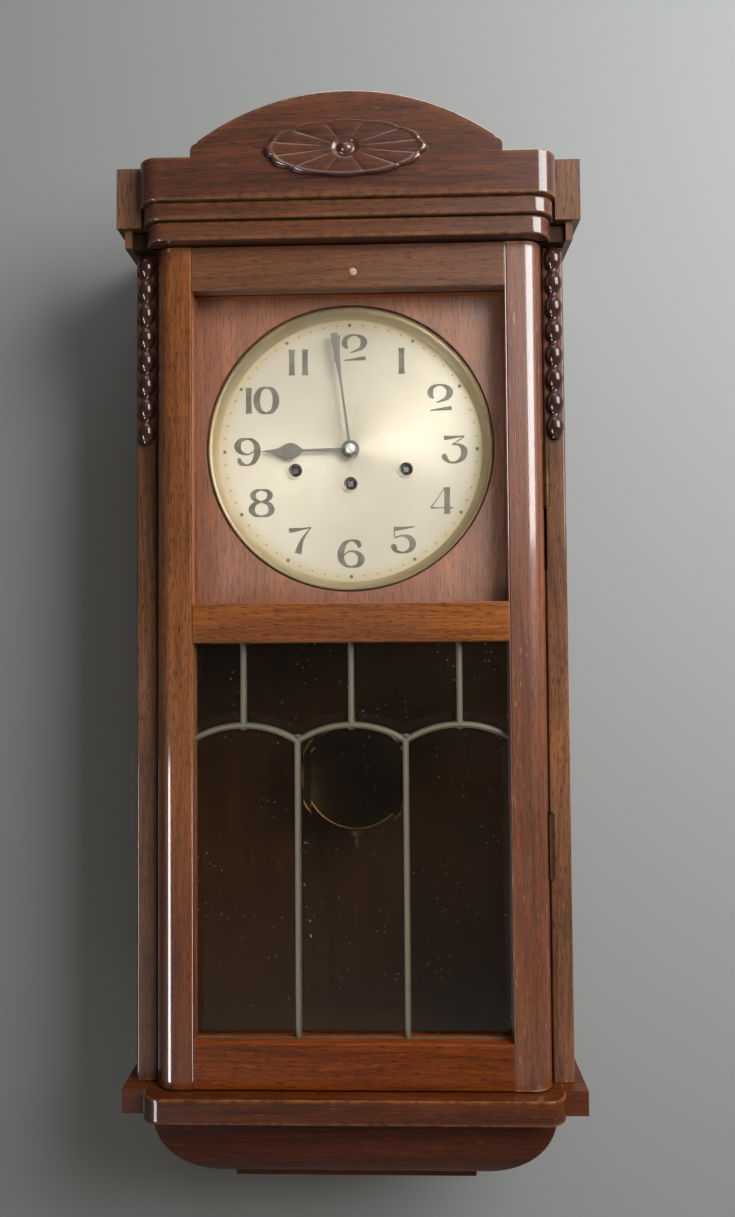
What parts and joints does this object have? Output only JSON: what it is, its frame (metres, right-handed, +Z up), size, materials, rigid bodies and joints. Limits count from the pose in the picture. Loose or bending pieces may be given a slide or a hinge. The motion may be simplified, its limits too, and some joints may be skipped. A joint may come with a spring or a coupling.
{
  "type": "wall clock",
  "caption": "Tall box wall clock with an arched crest, beaded side columns, a glazed door with a leaded lower light, a silvered dial, a pendulum and hanging chime rods.",
  "frame": {"origin": "centre of the hanger plate's hole, in the plane of the wall", "axes": "+X to the clock's right seen from the front, +Y into the wall, +Z up; the front faces -Y"},
  "size_m": [0.352, 0.173, 0.8228],
  "materials": {
    "case_wood": "worn polish",
    "door_wood": "worn polish",
    "crest_wood": "worn polish",
    "dial_board_wood": "thin satin polish",
    "pale_wood": "bare",
    "clear_glass": "polished",
    "bevelled_glass": "polished",
    "lead": "dull, tarnished",
    "brass": "aged",
    "polished_brass": "polished",
    "silvered_brass": "brushed silvering",
    "dial_ring_brass": "polished, aged",
    "dark_steel": "dull blued",
    "steel": "satin",
    "chime_metal": "dull",
    "bob_metal": "polished, dark with age"
  },
  "bodies": {
    "case": {"back_board": "case_wood", "left_side": "case_wood", "right_side": "case_wood", "top_board": "case_wood", "bottom_board": "case_wood", "crest_board": "crest_wood", "patera": "crest_wood", "cornice_mouldings": "crest_wood", "cornice_returns": "case_wood", "plinth_moulding": "case_wood", "plinth_returns": "case_wood", "base_cove": "case_wood", "base_pad": "case_wood", "bead_columns": "case_wood", "hanger_plate": "brass", "dial_board": "dial_board_wood", "inner_cleats": "pale_wood", "seat_board": "pale_wood", "hinge_case_leaves": "brass", "dial_plate": "silvered_brass", "dial_ring": "dial_ring_brass", "front_plate": "brass", "back_plate": "brass", "movement_pillars": "polished_brass", "rear_cocks": "brass", "gong_rods": "chime_metal"},
    "door": {"door_left_stile": "door_wood", "door_right_stile": "door_wood", "door_top_rail": "door_wood", "door_middle_rail": "door_wood", "door_bottom_rail": "door_wood", "upper_glass": "clear_glass", "leaded_panes": "bevelled_glass", "lead_cames": "lead", "glazing_beads": "door_wood", "rail_plug": "pale_wood", "hinge_door_leaves": "brass"},
    "centre": {"centre_wheel": "brass", "minute_hand": "dark_steel", "hand_nut": "steel"},
    "hour": {"hour_wheel": "brass", "hour_hand": "dark_steel"},
    "minute_wheel": {"minute_wheel": "brass"},
    "third_wheel": {"third_wheel": "brass"},
    "escape_wheel": {"escape_wheel": "brass"},
    "going_barrel": {"going_barrel": "brass"},
    "strike_barrel": {"strike_barrel": "brass"},
    "chime_barrel": {"chime_barrel": "brass"},
    "strike_wheel": {"strike_wheel": "brass"},
    "chime_wheel": {"chime_wheel": "brass"},
    "winding_arbor_going": {"winding_arbor_going": "steel"},
    "winding_arbor_strike": {"winding_arbor_strike": "steel"},
    "winding_arbor_chime": {"winding_arbor_chime": "steel"},
    "pendulum": {"pendulum_rod": "pale_wood", "pendulum_bob": "bob_metal"},
    "anchor": {"anchor": "steel"},
    "hammer_1": {"hammer_1": "steel"},
    "hammer_2": {"hammer_2": "steel"},
    "hammer_3": {"hammer_3": "steel"},
    "hammer_4": {"hammer_4": "steel"}
  },
  "joints": [
    {"name": "door_hinge", "type": "hinge", "parent": "case", "child": "door", "pos_m": [0.1495, -0.139, -0.354], "axis": [0, 0, 1], "range_deg": [0, 105]},
    {"name": "centre_turn", "type": "hinge", "parent": "case", "child": "centre", "pos_m": [0, 0, -0.189], "axis": [0, 1, 0], "continuous": true},
    {"name": "hour_turn", "type": "hinge", "parent": "case", "child": "hour", "pos_m": [0, 0, -0.189], "axis": [0, 1, 0], "continuous": true},
    {"name": "minute_wheel_turn", "type": "hinge", "parent": "case", "child": "minute_wheel", "pos_m": [-0.01244, 0, -0.17655], "axis": [0, 1, 0], "continuous": true},
    {"name": "third_turn", "type": "hinge", "parent": "case", "child": "third_wheel", "pos_m": [0.01505, 0, -0.17107], "axis": [0, 1, 0], "continuous": true},
    {"name": "escape_turn", "type": "hinge", "parent": "case", "child": "escape_wheel", "pos_m": [0, 0, -0.15514], "axis": [0, 1, 0], "continuous": true},
    {"name": "going_barrel_turn", "type": "hinge", "parent": "case", "child": "going_barrel", "pos_m": [0, 0, -0.21551], "axis": [0, 1, 0], "continuous": true},
    {"name": "strike_barrel_turn", "type": "hinge", "parent": "case", "child": "strike_barrel", "pos_m": [-0.0436, 0, -0.2045], "axis": [0, 1, 0], "continuous": true},
    {"name": "chime_barrel_turn", "type": "hinge", "parent": "case", "child": "chime_barrel", "pos_m": [0.0436, 0, -0.2045], "axis": [0, 1, 0], "continuous": true},
    {"name": "strike_wheel_turn", "type": "hinge", "parent": "case", "child": "strike_wheel", "pos_m": [-0.04571, 0, -0.18039], "axis": [0, 1, 0], "continuous": true},
    {"name": "chime_wheel_turn", "type": "hinge", "parent": "case", "child": "chime_wheel", "pos_m": [0.04571, 0, -0.18039], "axis": [0, 1, 0], "continuous": true},
    {"name": "winding_going", "type": "hinge", "parent": "case", "child": "winding_arbor_going", "pos_m": [0, 0, -0.21551], "axis": [0, 1, 0], "continuous": true},
    {"name": "winding_strike", "type": "hinge", "parent": "case", "child": "winding_arbor_strike", "pos_m": [-0.0436, 0, -0.2045], "axis": [0, 1, 0], "continuous": true},
    {"name": "winding_chime", "type": "hinge", "parent": "case", "child": "winding_arbor_chime", "pos_m": [0.0436, 0, -0.2045], "axis": [0, 1, 0], "continuous": true},
    {"name": "pendulum_swing", "type": "hinge", "parent": "case", "child": "pendulum", "pos_m": [0, -0.051, -0.13894], "axis": [0, 1, 0], "range_deg": [-3.5, 3.5]},
    {"name": "anchor_rock", "type": "hinge", "parent": "case", "child": "anchor", "pos_m": [0, -0.051, -0.13894], "axis": [0, 1, 0], "range_deg": [-3.5, 3.5]},
    {"name": "hammer_1_lift", "type": "hinge", "parent": "case", "child": "hammer_1", "pos_m": [0.02401, 0, -0.20399], "axis": [0, 1, 0], "range_deg": [0, 12], "stiffness_Nm_per_rad": 0.02, "springref_deg": -8.59},
    {"name": "hammer_2_lift", "type": "hinge", "parent": "case", "child": "hammer_2", "pos_m": [0.02401, 0, -0.20399], "axis": [0, 1, 0], "range_deg": [0, 12], "stiffness_Nm_per_rad": 0.02, "springref_deg": -8.59},
    {"name": "hammer_3_lift", "type": "hinge", "parent": "case", "child": "hammer_3", "pos_m": [0.02401, 0, -0.20399], "axis": [0, 1, 0], "range_deg": [0, 12], "stiffness_Nm_per_rad": 0.02, "springref_deg": -8.59},
    {"name": "hammer_4_lift", "type": "hinge", "parent": "case", "child": "hammer_4", "pos_m": [0.02401, 0, -0.20399], "axis": [0, 1, 0], "range_deg": [0, 12], "stiffness_Nm_per_rad": 0.02, "springref_deg": -8.59}
  ],
  "couplings": [
    {"joint": "hour_turn", "follows": "centre_turn", "ratio": 0.083333},
    {"joint": "minute_wheel_turn", "follows": "centre_turn", "ratio": -0.33333},
    {"joint": "third_turn", "follows": "centre_turn", "ratio": -10},
    {"joint": "escape_turn", "follows": "centre_turn", "ratio": 100},
    {"joint": "going_barrel_turn", "follows": "centre_turn", "ratio": -0.125},
    {"joint": "strike_wheel_turn", "follows": "strike_barrel_turn", "ratio": -7.8},
    {"joint": "chime_wheel_turn", "follows": "chime_barrel_turn", "ratio": -7.8},
    {"joint": "anchor_rock", "follows": "pendulum_swing", "ratio": 1}
  ]
}
